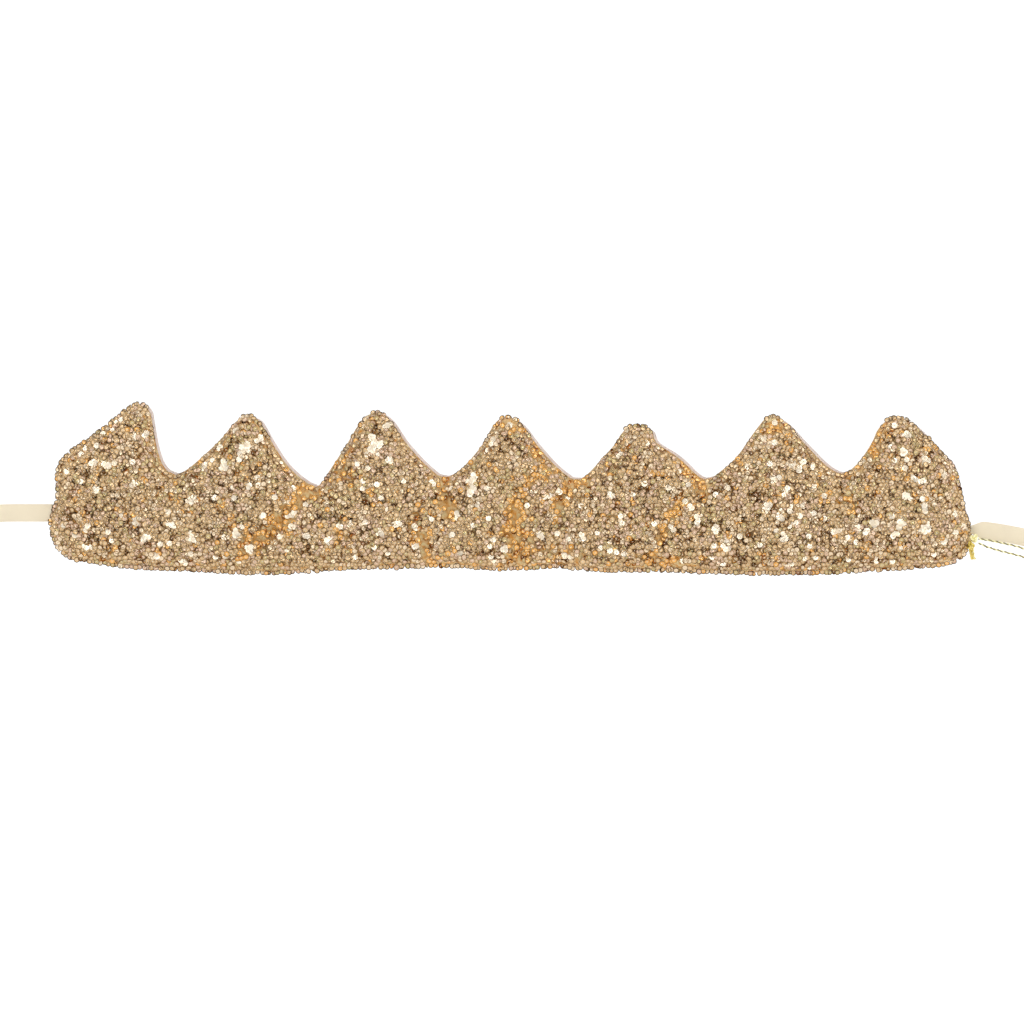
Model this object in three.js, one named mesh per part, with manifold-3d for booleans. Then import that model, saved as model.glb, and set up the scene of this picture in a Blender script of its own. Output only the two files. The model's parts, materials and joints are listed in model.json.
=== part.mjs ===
// A soft fabric crown on tie ribbons, spread flat: a sequined front cloth turned in over wadding and
// backed by a lining, in seven panels that bend at the notches between the points.
// Millimetres. +X to the right, +Z towards the points, +Y to the head; y = 0 is the lining's back.
import * as THREE from 'three';
import { mergeVertices } from 'three/addons/utils/BufferGeometryUtils.js';
import Module from 'manifold-3d';

const wasm = await Module();
wasm.setup();

// Layers, as distances in front of the lining's back
const GAP = 0.3;
const LINING = 0.8;
const WADDING = 4;
const CLOTH = 1.6;
const TURNED_EDGE = 1.2;
const WADDING_BACK = LINING + GAP;
const WADDING_FRONT = WADDING_BACK + WADDING;
const CLOTH_BACK = WADDING_FRONT + GAP;
const CLOTH_FRONT = CLOTH_BACK + CLOTH;

// The front cloth's edge as [x, z]: the top from left to right, then the hem back to the left
const TOP_EDGE = [
  [-207, 41], [-207, 47], [-203.4, 53.4], [-189, 64], [-174.3, 75.8], [-169, 78.3], [-165, 74.8],
  [-163.2, 66], [-161.2, 56], [-157.6, 47.6], [-152.5, 45.3], [-148.8, 47.1], [-134, 60], [-124, 71],
  [-119.7, 72.7], [-115.6, 71], [-109.4, 60.7], [-102.2, 49.8], [-94.8, 43], [-88, 39.7], [-84, 45.5],
  [-76, 57.5], [-66.5, 72], [-60.7, 74.1], [-56, 71.5], [-47.5, 59.4], [-36.8, 48], [-30.7, 44],
  [-25, 46.2], [-14, 57.8], [-6.5, 69.8], [-1.2, 72.3], [4.4, 68.8], [12, 59], [22, 48], [30.3, 42.8],
  [36, 46.6], [42, 53.4], [47, 58.6], [49.4, 62], [50.8, 65.4], [54.6, 67.7], [59, 68.2], [63, 66.6],
  [65.2, 63.4], [66.2, 60.2], [69.8, 57.6], [75.5, 54], [79.5, 50.6], [85, 45.2], [89.2, 42.9],
  [95, 46.4], [103, 53.5], [112.5, 66.8], [118, 72.4], [124, 70.4], [134, 59.8], [145, 48.8],
  [151.3, 45.6], [157.5, 49.8], [164.5, 59.5], [168.5, 67.8], [174.5, 71.5], [181, 70.4], [189, 63.3],
  [197.5, 53.6], [201.5, 50], [204.5, 40],
];
const HEM = [
  [206.6, 29.3], [209.3, 20.2], [208.5, 12.5], [203.8, 6.8], [196, 4.6], [182, 3.3], [168, 2.3],
  [157, 1.9], [145, 1], [131, 0.8], [104, 0.8], [85, 1.4], [59, 2.2], [45, 1.9], [33, 2.6], [22, 3.8],
  [10, 3.2], [-5, 2.7], [-14, 3.2], [-30, 4], [-50, 3.4], [-70, 3.2], [-87, 2.2], [-105, 0.9],
  [-127, 1.2], [-158, 2.7], [-174, 3.6], [-189, 5.6], [-200, 7.4], [-205.8, 11], [-209, 17.5],
  [-210, 25], [-207, 34],
];
const EDGE_STEPS = 240;
const NOTCHES = [-152.5, -88, -30.7, 30.3, 89.2, 151.3];
const HINGE_GAP = 0.4;
const LINING_PEEKS = [1, 0.7];

// Ribbons: a flat ribbon out of each end, standing on its edge, then wound into an oval hank
const RIBBON_WIDTH = 8;
const RIBBON_THICK = 0.8;
const RIBBON_Y = -1.5;
const RIBBON_STEPS = 34;
const SLOT_CLEARANCE = 0.3;
const SLOT_DEPTH = 16;
const LEFT_RIBBON = [
  [-197, 28], [-203, 28], [-209, 28], [-215, 28], [-221, 28], [-227, 28], [-233, 27.8], [-239, 26.9],
  [-245, 24.9], [-251, 21.8], [-257, 18], [-263, 13.9], [-269, 10.3], [-275, 7.5], [-281, 5.8],
  [-287, 5.1], [-293, 4.9], [-298, 4.9], [-302.8, 4.9],
];
const RIGHT_RIBBON = [
  [197, 20.5], [203, 20.5], [209, 20.5], [215, 20.1], [221, 19.3], [227, 18.3], [233, 17.1], [239, 15.6],
  [245, 13.8], [251, 11.7], [257, 9.6], [263, 7.8], [269, 6.5], [275, 5.7], [281, 5.2], [287, 5],
  [293, 4.9], [298, 4.9], [302.8, 4.9],
];
const HANK_LIFT = 0.9;
const HANK_BEND = 24;
const HANK_RUNS = 3.2;
const HANK_NEAR_X = 309.6;
const HANK_FAR_X = 325;
const TIE_X = 317;
const TIE_WIDTH = 3;
const TIE_THICK = 0.6;

// The hanging thread: a knot with a tail at the right end, and a long loop of thread from it
const THREAD = 1;
const THREAD_SIDES = 8;
const KNOT = [211, -4.4, 15.6];
const KNOT_RADIUS = 1.5;
const TAIL = [[0.2, 0, -0.8], [0.6, -0.1, -3], [0.4, -0.2, -5.2], [1.3, -0.2, -7.4]];
const LOOP = [
  [212.9, -4.4, 16.2], [218, -4.5, 15.4], [224, -4.7, 14.2], [231, -5, 12.5], [238, -5.6, 9.8],
  [245, -6.6, 6.2], [252, -8.2, 2.8], [259, -10, 0.9], [265, -11.4, 0.6], [270, -13.4, 0.6],
  [272, -16, 0.6], [269.6, -18, 0.6], [265, -17.4, 0.6], [258, -14.8, 0.7], [251, -12, 1.6],
  [244, -9.4, 3.8], [237, -7.4, 6.6], [230, -6.2, 8.8], [223, -5.6, 10.6], [217, -5.2, 12.4],
  [212.8, -5, 14.3],
];
const LOOP_STEPS = 76;

const front = new THREE.MeshStandardMaterial({ color: 0xb4966f, roughness: 0.35, metalness: 0.8 });
const padding = new THREE.MeshStandardMaterial({ color: 0xf2efe8, roughness: 0.95, metalness: 0 });
const backing = new THREE.MeshStandardMaterial({ color: 0xead9cc, roughness: 0.85, metalness: 0 });
const ribbonCloth = new THREE.MeshStandardMaterial({ color: 0xf0e2c8, roughness: 0.6, metalness: 0 });
const goldThread = new THREE.MeshStandardMaterial({ color: 0xd9b25a, roughness: 0.35, metalness: 0.9 });

function solid(geometry) {
  const bare = new THREE.BufferGeometry();
  bare.setAttribute('position', geometry.getAttribute('position'));
  bare.setIndex(geometry.getIndex());
  const merged = mergeVertices(bare, 1e-4);
  return new wasm.Manifold(new wasm.Mesh({
    numProp: 3,
    vertProperties: new Float32Array(merged.getAttribute('position').array),
    triVerts: new Uint32Array(merged.getIndex().array),
  }));
}

function meshOf(body) {
  const { vertProperties, triVerts } = body.getMesh();
  const geometry = new THREE.BufferGeometry();
  geometry.setAttribute('position', new THREE.BufferAttribute(new Float32Array(vertProperties), 3));
  geometry.setIndex(new THREE.BufferAttribute(new Uint32Array(triVerts), 1));
  geometry.computeVertexNormals();
  return geometry;
}

function box(low, high) {
  const size = high.map((value, axis) => value - low[axis]);
  const middle = high.map((value, axis) => (value + low[axis]) / 2);
  return solid(new THREE.BoxGeometry(...size).translate(...middle));
}

// The cloth's outline moved inwards by a distance, as a closed ring of points
function outline(inwards) {
  const ring = [...TOP_EDGE, ...HEM].map(([x, z]) => new THREE.Vector3(x, z, 0));
  const curve = new THREE.CatmullRomCurve3(ring, true, 'centripetal');
  return curve.getSpacedPoints(EDGE_STEPS).slice(0, -1).map((point, index) => {
    const along = curve.getTangentAt(index / EDGE_STEPS);
    return new THREE.Vector2(point.x + along.y * inwards, point.y - along.x * inwards);
  });
}

// An upright slab of an outline, between two distances in front of the lining's back
function slab(ring, back, frontFace) {
  const options = { depth: frontFace - back, bevelEnabled: false };
  const geometry = new THREE.ExtrudeGeometry(new THREE.Shape(ring), options);
  return solid(geometry.rotateX(Math.PI / 2).translate(0, -back, 0));
}

function pocket(ribbon, clearance) {
  const [, z] = ribbon[0];
  const side = Math.sign(ribbon[0][0]);
  const ends = [side * (197 - clearance), side * (197 + SLOT_DEPTH)].sort((a, b) => a - b);
  const reach = RIBBON_THICK / 2 + clearance;
  const half = RIBBON_WIDTH / 2 + clearance + 0.5;
  return box([ends[0], RIBBON_Y - reach, z - half], [ends[1], RIBBON_Y + reach, z + half]);
}

function sweep(points, section, steps) {
  const curve = new THREE.CatmullRomCurve3(points.map((point) => new THREE.Vector3(...point)));
  return new THREE.ExtrudeGeometry(section, { steps, extrudePath: curve, bevelEnabled: false });
}

function roundSection(diameter, sides) {
  const corner = (_, index) => {
    const turn = (index / sides) * 2 * Math.PI;
    return new THREE.Vector2(Math.cos(turn), Math.sin(turn)).multiplyScalar(diameter / 2);
  };
  return new THREE.Shape(Array.from({ length: sides }, corner));
}

function ribbonSection() {
  const half = RIBBON_WIDTH / 2;
  const thick = RIBBON_THICK / 2;
  const cut = thick / 2;
  const corners = [
    [half, -cut], [half, cut], [half - cut, thick], [cut - half, thick],
    [-half, cut], [-half, -cut], [cut - half, -thick], [half - cut, -thick],
  ];
  return new THREE.Shape(corners.map((corner) => new THREE.Vector2(...corner)));
}

function mesh(name, geometry, material) {
  const piece = new THREE.Mesh(geometry, material);
  piece.name = name;
  return piece;
}

// The three cloth layers, each cut into one panel for each point of the crown
function panels() {
  const group = new THREE.Group();
  const wrapped = slab(outline(0), WADDING_BACK, CLOTH_FRONT);
  const hollow = slab(outline(TURNED_EDGE), 0, CLOTH_BACK);
  const slots = [LEFT_RIBBON, RIGHT_RIBBON].map((ribbon) => pocket(ribbon, SLOT_CLEARANCE));
  const cutSlots = (body) => slots.reduce((rest, slot) => rest.subtract(slot), body);
  const layers = {
    sequin_cloth: [cutSlots(wrapped.subtract(hollow)), front],
    wadding: [cutSlots(slab(outline(TURNED_EDGE + GAP), WADDING_BACK, WADDING_FRONT)), padding],
    lining: [slab(outline(0), 0, LINING).translate([LINING_PEEKS[0], 0, LINING_PEEKS[1]]), backing],
  };
  const cuts = [-400, ...NOTCHES, 400];
  for (let panel = 1; panel <= NOTCHES.length + 1; panel += 1) {
    const between = [cuts[panel - 1] + HINGE_GAP / 2, cuts[panel] - HINGE_GAP / 2];
    const slice = box([between[0], -20, -20], [between[1], 20, 120]);
    for (const [layer, [body, material]] of Object.entries(layers)) {
      group.add(mesh(`${layer}_${panel}`, meshOf(body.intersect(slice)), material));
    }
  }
  return group;
}

// An oval ring standing on its edge: two runs of ribbon side by side all the way round
function hank(side) {
  const straight = HANK_FAR_X - HANK_NEAR_X;
  const oval = (shape, radius) => {
    shape.absarc(straight / 2, 0, radius, -Math.PI / 2, Math.PI / 2, false);
    shape.absarc(-straight / 2, 0, radius, Math.PI / 2, (3 * Math.PI) / 2, false);
    shape.closePath();
    return shape;
  };
  const ring = oval(new THREE.Shape(), HANK_BEND + RIBBON_THICK / 2);
  ring.holes.push(oval(new THREE.Path(), HANK_BEND - HANK_RUNS - RIBBON_THICK / 2));
  const options = { depth: RIBBON_WIDTH, bevelEnabled: false, curveSegments: 14 };
  const geometry = new THREE.ExtrudeGeometry(ring, options);
  const middle = side * (HANK_NEAR_X + HANK_FAR_X) / 2;
  return geometry.translate(middle, RIBBON_Y - HANK_BEND, HANK_LIFT);
}

// A band round the runs on the near side of the hank
function hankTie(side) {
  const hole = GAP + RIBBON_THICK / 2;
  const low = [RIBBON_Y - HANK_RUNS - hole, HANK_LIFT - GAP];
  const high = [RIBBON_Y + hole, HANK_LIFT + RIBBON_WIDTH + GAP];
  const middle = side * TIE_X;
  const ends = [middle - TIE_WIDTH / 2, middle + TIE_WIDTH / 2];
  const outer = box(
    [ends[0], low[0] - TIE_THICK, low[1] - TIE_THICK],
    [ends[1], high[0] + TIE_THICK, high[1] + TIE_THICK],
  );
  return meshOf(outer.subtract(box([ends[0] - 1, ...low], [ends[1] + 1, ...high])));
}

function ribbon(name, route, side) {
  const group = new THREE.Group();
  const points = route.map(([x, z]) => [x, RIBBON_Y, z]);
  group.add(mesh(name, sweep(points, ribbonSection(), RIBBON_STEPS), ribbonCloth));
  group.add(mesh(`${name}_hank`, hank(side), ribbonCloth));
  group.add(mesh(`${name}_hank_tie`, hankTie(side), ribbonCloth));
  return group;
}

function hangThread() {
  const group = new THREE.Group();
  const section = roundSection(THREAD, THREAD_SIDES);
  const ball = solid(new THREE.SphereGeometry(KNOT_RADIUS, 12, 8));
  const knot = meshOf(ball.add(solid(sweep(TAIL, section, 6)))).translate(...KNOT);
  group.add(mesh('hang_thread_knot', knot, goldThread));
  group.add(mesh('hang_thread_loop', sweep(LOOP, section, LOOP_STEPS), goldThread));
  return group;
}

const crown = new THREE.Group();
crown.add(panels());
crown.add(ribbon('ribbon_left', LEFT_RIBBON, -1));
crown.add(ribbon('ribbon_right', RIGHT_RIBBON, 1));
crown.add(hangThread());

export default crown;
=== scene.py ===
"""A fabric crown, spread flat: gold sequins over wadding, a pale lining, tie ribbons and a hanging thread."""

import json
import math
from collections import Counter, defaultdict

import bpy
import numpy as np
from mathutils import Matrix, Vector
from mathutils.bvhtree import BVHTree
from mathutils.geometry import delaunay_2d_cdt


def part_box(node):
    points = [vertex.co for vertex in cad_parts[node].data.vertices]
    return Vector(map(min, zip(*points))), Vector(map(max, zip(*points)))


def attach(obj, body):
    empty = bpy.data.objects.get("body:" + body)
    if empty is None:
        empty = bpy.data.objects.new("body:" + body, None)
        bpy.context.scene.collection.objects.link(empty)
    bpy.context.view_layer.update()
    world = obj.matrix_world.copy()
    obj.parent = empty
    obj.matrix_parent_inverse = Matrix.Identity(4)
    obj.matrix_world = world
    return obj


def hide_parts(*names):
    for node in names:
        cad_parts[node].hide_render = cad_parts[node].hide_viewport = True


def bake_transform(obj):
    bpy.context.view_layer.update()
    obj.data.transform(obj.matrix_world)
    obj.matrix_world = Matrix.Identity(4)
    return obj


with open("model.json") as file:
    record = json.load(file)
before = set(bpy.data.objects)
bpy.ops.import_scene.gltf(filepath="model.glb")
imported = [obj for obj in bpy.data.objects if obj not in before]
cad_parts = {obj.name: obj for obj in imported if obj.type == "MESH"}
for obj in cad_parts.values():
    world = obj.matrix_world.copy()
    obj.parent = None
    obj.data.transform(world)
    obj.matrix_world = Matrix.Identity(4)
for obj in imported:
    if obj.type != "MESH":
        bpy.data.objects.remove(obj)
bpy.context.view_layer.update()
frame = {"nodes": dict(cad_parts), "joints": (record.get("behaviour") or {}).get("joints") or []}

MM = 0.001
MICRON = 1e-6
TURN = 2 * math.pi
rng = np.random.default_rng(20)
PANELS = range(1, 8)
SEGMENTS = range(6)
BODIES = [f"panel_{n}" for n in PANELS]
NOTCHES = sorted(joint["pos_m"][0] for joint in frame["joints"])
WIDE = [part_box("lining_1")[0].x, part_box("lining_7")[1].x]
MIDDLES = [(a + b) / 2 for a, b in zip([WIDE[0], *NOTCHES], [*NOTCHES, WIDE[1]])]
CUTS = MIDDLES[1:-1]
LINING_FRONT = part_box("lining_4")[0].y
CLOTH_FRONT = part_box("sequin_cloth_4")[0].y

# ---------------------------------------------------------------- camera and stage

CAMERA_AT = (0.0005, -1.2995, 0.0284)
LENS_MM = 100
SENSOR_MM = 36
FLASHES = [(-0.35, -1.6, 0.55), (0.45, -1.6, 0.5)]
FLASH_SIZE = 0.22
FLOOR = -1.6 * MM
LIGHTS = [  # name, place, size in metres, watts
    ("key", (-1.3, -1.9, 1.9), 1.6, 13.6),
    ("fill", (1.7, -1.6, 1.0), 1.2, 6.6),
    ("top", (0.1, -0.3, 2.2), 1.6, 7.2),
    ("rim", (0.8, 0.1, 1.2), 0.6, 3),
    ("flash_left", FLASHES[0], FLASH_SIZE, 1.15),
    ("flash_right", FLASHES[1], FLASH_SIZE, 1.1),
    ("back_left", (-1.8, 0.7, 1.0), 0.5, 2.4),
    ("back_right", (1.2, 1.0, 1.1), 1.0, 0.3),
]
LIGHTS_AIM = Vector((0, 0, 0.035))


def make_camera():
    data = bpy.data.cameras.new("camera")
    data.lens, data.sensor_width = LENS_MM, SENSOR_MM
    camera = bpy.data.objects.new("camera", data)
    camera.location = CAMERA_AT
    camera.rotation_euler = (math.radians(90), 0, 0)
    bpy.context.scene.collection.objects.link(camera)
    bpy.context.scene.camera = camera


def area_light(name, at, size, watts):
    data = bpy.data.lights.new(name, "AREA")
    data.size, data.energy = size, watts
    light = bpy.data.objects.new(name, data)
    light.location = at
    light.rotation_euler = (LIGHTS_AIM - Vector(at)).to_track_quat("-Z", "Y").to_euler()
    bpy.context.scene.collection.objects.link(light)


def make_stage():
    """A white floor that sweeps up into a white backdrop, with low walls at the sides, and studio lights."""
    front, back, sweep, top, half = -9.0, 4.0, 0.8, 7.0, 9.0
    wall_front, wall_top = -3.0, 3.0
    steps = 12
    profile = [(front, FLOOR), (back - sweep, FLOOR)]
    for step in range(1, steps + 1):
        turn = math.radians(90) * step / steps
        profile.append((back - sweep * (1 - math.sin(turn)), sweep * (1 - math.cos(turn)) + FLOOR))
    profile.append((back, top))
    points = [(x, y, z) for y, z in profile for x in (-half, half)]
    faces = [(2 * i, 2 * i + 1, 2 * i + 3, 2 * i + 2) for i in range(len(profile) - 1)]
    for x in (-half, half):
        start = len(points)
        points += [(x, wall_front, FLOOR), (x, back, FLOOR), (x, back, wall_top), (x, wall_front, wall_top)]
        faces.append(tuple(range(start, start + 4)))
    make_object("floor_and_backdrop", points, faces, materials=[stage_material()])

    world = bpy.data.worlds.new("studio")
    bpy.context.scene.world = world
    world.use_nodes = True
    world.node_tree.nodes["Background"].inputs["Color"].default_value = (0.50, 0.50, 0.50, 1)
    world.node_tree.nodes["Background"].inputs["Strength"].default_value = 1.0
    for light in LIGHTS:
        area_light(*light)
    bpy.context.scene.view_settings.view_transform = "Standard"


# ---------------------------------------------------------------- materials


def new_material(name, **inputs):
    """A material with its node tree and its shader, whose inputs are set by name."""
    made = bpy.data.materials.new(name)
    made.use_nodes = True
    shader = made.node_tree.nodes["Principled BSDF"]
    set_inputs(shader, inputs)
    return made, made.node_tree, shader


def set_inputs(made, inputs):
    for name, value in inputs.items():
        made.inputs[name.replace("_", " ")].default_value = value


def stage_material():
    return new_material("white_paper", Base_Color=(0.4, 0.4, 0.4, 1), Roughness=1.0, Specular_IOR_Level=0.0,
                        Emission_Color=(1, 1, 1, 1), Emission_Strength=0.8)[0]


def node(tree, kind, **inputs):
    made = tree.nodes.new(kind)
    set_inputs(made, inputs)
    return made


def noise(tree, coords, **inputs):
    made = node(tree, "ShaderNodeTexNoise", **inputs)
    tree.links.new(coords, made.inputs["Vector"])
    return made.outputs["Fac"]


def noise_between(tree, coords, scale, low, high):
    """A colour that wanders between two, as a noise of that scale does."""
    ramp = tree.nodes.new("ShaderNodeValToRGB")
    for element, position, colour in zip(ramp.color_ramp.elements, (0.32, 0.68), (low, high)):
        element.position, element.color = position, (*colour, 1)
    tree.links.new(noise(tree, coords, Scale=scale, Detail=3.0), ramp.inputs["Fac"])
    return ramp.outputs["Color"]


def bump(tree, shader, height, distance, strength=1.0, onto=None):
    made = node(tree, "ShaderNodeBump", Strength=strength, Distance=distance)
    tree.links.new(height, made.inputs["Height"])
    if onto:
        tree.links.new(onto, made.inputs["Normal"])
    tree.links.new(made.outputs["Normal"], shader.inputs["Normal"])
    return made.outputs["Normal"]


def object_coords(tree):
    return tree.nodes.new("ShaderNodeTexCoord").outputs["Object"]


def metal_material(name, low, high, roughness):
    """Vacuum-metallised foil under clear lacquer, whose colour differs a little from sequin to sequin."""
    made, tree, shader = new_material(name, Metallic=1.0, Roughness=roughness, Coat_Weight=0.2,
                                      Coat_Roughness=0.2)
    coords = object_coords(tree)
    tree.links.new(noise_between(tree, coords, 420, low, high), shader.inputs["Base Color"])
    bump(tree, shader, noise(tree, coords, Scale=1500.0, Detail=2.0), 0.08 * MM, 0.35)
    return made


def woven_material(name, low, high, pitch, depth, roughness, metallic=0.0, sheen=0.0, use_uv=False, patch=90,
                   wrinkles=0.0):
    """Cloth with warp and weft threads of that pitch, in metres, uneven colour and wrinkles of that depth."""
    made, tree, shader = new_material(name, Metallic=metallic, Roughness=roughness, Sheen_Weight=sheen)
    coords = object_coords(tree)
    tree.links.new(noise_between(tree, coords, patch, low, high), shader.inputs["Base Color"])
    grain = tree.nodes.new("ShaderNodeUVMap").outputs["UV"] if use_uv else coords
    both = tree.nodes.new("ShaderNodeMath")
    both.operation = "ADD"
    for place, direction in enumerate(("X", "Y" if use_uv else "Z")):
        wave = node(tree, "ShaderNodeTexWave", Scale=0.5 / pitch, Distortion=1.2, Detail=1.5,
                    Detail_Scale=2.0)
        wave.bands_direction = direction
        tree.links.new(grain, wave.inputs["Vector"])
        tree.links.new(wave.outputs["Fac"], both.inputs[place])
    folds = None
    if wrinkles:
        folds = bump(tree, shader, noise(tree, coords, Scale=55.0, Detail=2.0, Distortion=0.8), wrinkles)
    bump(tree, shader, both.outputs[0], depth, 0.8, onto=folds)
    return made


def thread_material(name, low, high, roughness, metallic):
    made, tree, shader = new_material(name, Metallic=metallic, Roughness=roughness)
    coords = object_coords(tree)
    tree.links.new(noise_between(tree, coords, 700, low, high), shader.inputs["Base Color"])
    bump(tree, shader, noise(tree, coords, Scale=3200.0, Detail=2.0), 0.1 * MM, 0.5)
    return made


# ---------------------------------------------------------------- meshes


def make_object(name, points, faces, smooth=True, materials=(), slots=None):
    mesh = bpy.data.meshes.new(name)
    mesh.from_pydata([tuple(p) for p in points], [], [tuple(f) for f in faces])
    mesh.polygons.foreach_set("use_smooth", [smooth] * len(mesh.polygons))
    for material in materials:
        mesh.materials.append(material)
    if slots is not None:
        mesh.polygons.foreach_set("material_index", slots)
    mesh.update()
    made = bpy.data.objects.new(name, mesh)
    bpy.context.scene.collection.objects.link(made)
    return made


def bend(made, segment):
    """Bakes the piece's place into its points. The span between two panels' middles and the bodies at its
    ends are looked up but not applied.
    """
    start, end = MIDDLES[segment], MIDDLES[segment + 1]
    BODIES[segment]
    BODIES[segment + 1]
    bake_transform(made)


def unit(v):
    return v / np.maximum(np.linalg.norm(v, axis=-1, keepdims=True), 1e-12)


def ring_along(ring):
    """The unit direction along a closed ring at each of its points."""
    return unit(np.roll(ring, -1, 0) - np.roll(ring, 1, 0))


def outward_of(along):
    """The (x, z) directions out of an outline, from the directions along it."""
    return np.stack([along[:, 1], -along[:, 0]], axis=1)


def so_far(line):
    """The distance along a line from its start to each of its points."""
    return np.concatenate([[0], np.cumsum(np.linalg.norm(np.diff(line, axis=0), axis=1))])


def tube(path, radius, sides=6, closed=False):
    """Points and faces of a round tube along a path, with caps unless it is closed."""
    path = np.asarray(path, float)
    count = len(path)
    along = ring_along(path) if closed else unit(np.gradient(path, axis=0))
    side = np.cross(along[0], (0.3, 0.2, 1.0))
    rings = []
    for index in range(count):
        side = unit(side - along[index] * (side @ along[index]))
        up = np.cross(along[index], side)
        turn = np.arange(sides) * TURN / sides
        width = radius[index] if np.ndim(radius) else radius
        rings.append(path[index] + width * (np.outer(np.cos(turn), side) + np.outer(np.sin(turn), up)))
    points = np.concatenate(rings)
    faces = ring_faces(count, sides, closed)
    if not closed:
        faces.append(tuple(range(sides))[::-1])
        faces.append(tuple((count - 1) * sides + k for k in range(sides)))
    return points, faces


def ring_faces(rings, sides, closed):
    """The quads from each ring of points to the next one."""
    faces = []
    for ring in range(rings if closed else rings - 1):
        after = (ring + 1) % rings
        for k in range(sides):
            step = (k + 1) % sides
            faces.append((ring * sides + k, ring * sides + step, after * sides + step, after * sides + k))
    return faces


def joined(parts):
    """Several (points, faces) as one."""
    points, faces, base = [], [], 0
    for part_points, part_faces in parts:
        points.extend(part_points)
        faces.extend(tuple(base + k for k in face) for face in part_faces)
        base += len(part_points)
    return points, faces


def smooth_curve(points, spacing):
    """A Catmull-Rom curve through points, as points about a spacing apart."""
    points = np.asarray(points, float)
    padded = np.vstack([2 * points[0] - points[1], points, 2 * points[-1] - points[-2]])
    dense = []
    for p0, p1, p2, p3 in zip(padded, padded[1:], padded[2:], padded[3:]):
        for t in np.linspace(0, 1, 12, endpoint=False):
            dense.append(0.5 * (2 * p1 + (p2 - p0) * t + (2 * p0 - 5 * p1 + 4 * p2 - p3) * t * t
                                + (3 * p1 - p0 - 3 * p2 + p3) * t ** 3))
    dense.append(points[-1])
    return resampled(np.array(dense), spacing)


def resampled(line, spacing):
    gone = so_far(line)
    wanted = np.linspace(0, gone[-1], max(2, round(gone[-1] / spacing) + 1))
    return np.stack([np.interp(wanted, gone, line[:, k]) for k in range(line.shape[1])], axis=1)


def length_of(line):
    return float(so_far(line)[-1])


# ---------------------------------------------------------------- ribbons and hanging thread

RIBBON_WIDE = 8.0 * MM
RIBBON_THICK = 0.35 * MM
# The ribbons' routes as (x, z) and their hanks' sizes, in mm
RIBBON_Y = -1.5
HANK_BEND, HANK_RUNS, HANK_FAR, HANK_NEAR = 24.0, 3.2, 325.0, 309.6
RIBBON_END = 24.0
LEFT_ROUTE = [
    (-209, 28), (-215, 28), (-221, 28), (-227, 28), (-233, 27.8), (-239, 26.9), (-245, 24.9), (-251, 21.8),
    (-257, 18), (-263, 13.9), (-269, 10.3), (-275, 7.5), (-281, 5.8), (-287, 5.1), (-293, 4.9),
    (-298, 4.9), (-302.8, 4.9),
]
RIGHT_ROUTE = [
    (209, 20.5), (215, 20.1), (221, 19.3), (227, 18.3), (233, 17.1), (239, 15.6), (245, 13.8), (251, 11.7),
    (257, 9.6), (263, 7.8), (269, 6.5), (275, 5.7), (281, 5.2), (287, 5), (293, 4.9), (298, 4.9),
    (302.8, 4.9),
]


def hank_route(side):
    """One and a quarter turns of an oval, standing on edge, the second turn inside the first."""
    points = []
    level = LEFT_ROUTE[-1][1]
    centre = RIBBON_Y - HANK_BEND

    def arc(x, middle, radius, start, stop):
        for step in range(17):
            turn = math.radians(start + (stop - start) * step / 16)
            points.append((side * (x + radius * math.cos(turn)), middle + radius * math.sin(turn), level))

    arc(HANK_FAR, centre, HANK_BEND, 90, -90)
    inner = HANK_BEND - HANK_RUNS / 2
    arc(HANK_NEAR, centre - HANK_RUNS / 2, inner, 270, 90)
    for step in range(1, 5):
        points.append((side * (HANK_NEAR + RIBBON_END * step / 4), RIBBON_Y - HANK_RUNS, level))
    return points


def ribbon_mesh(path, widths, pleats):
    """A flat ribbon on its edge along a path: thin in the middle, with a thicker woven edge on each side."""
    across = np.array([-1, -0.94, -0.87, -0.6, -0.3, 0, 0.3, 0.6, 0.87, 0.94, 1]) / 2
    thick = np.array([0.55, 1.0, 0.62, 0.5, 0.5, 0.5, 0.5, 0.5, 0.62, 1.0, 0.55]) * RIBBON_THICK
    along = unit(np.gradient(path, axis=0))
    flat = unit(np.cross(along, (0, 0, 1.0)))
    up = unit(np.cross(flat, along))
    rows = []
    for index, point in enumerate(path):
        shift = pleats[index] * np.cos(across * 3 * TURN)
        base = point + np.outer(across * widths[index], up[index]) + np.outer(shift, flat[index])
        front = base + np.outer(thick, flat[index])
        back = base - np.outer(thick, flat[index])
        rows.append(np.concatenate([front, back[::-1]]))
    count, ring = len(rows), len(rows[0])
    gone = so_far(path)
    side = np.concatenate([across, across[::-1]]) * RIBBON_WIDE
    faces = ring_faces(count, ring, False)
    uvs = [(gone[v // ring], side[v % ring]) for face in faces for v in face]
    half = len(across)
    for row, order in ((0, 1), (count - 1, -1)):
        for k in range(half - 1):
            quad = [row * ring + k, row * ring + ring - 1 - k, row * ring + ring - 2 - k, row * ring + k + 1]
            faces.append(tuple(quad[::order]))
            uvs += [(gone[row], 0)] * 4
    return np.concatenate(rows), faces, uvs


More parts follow.
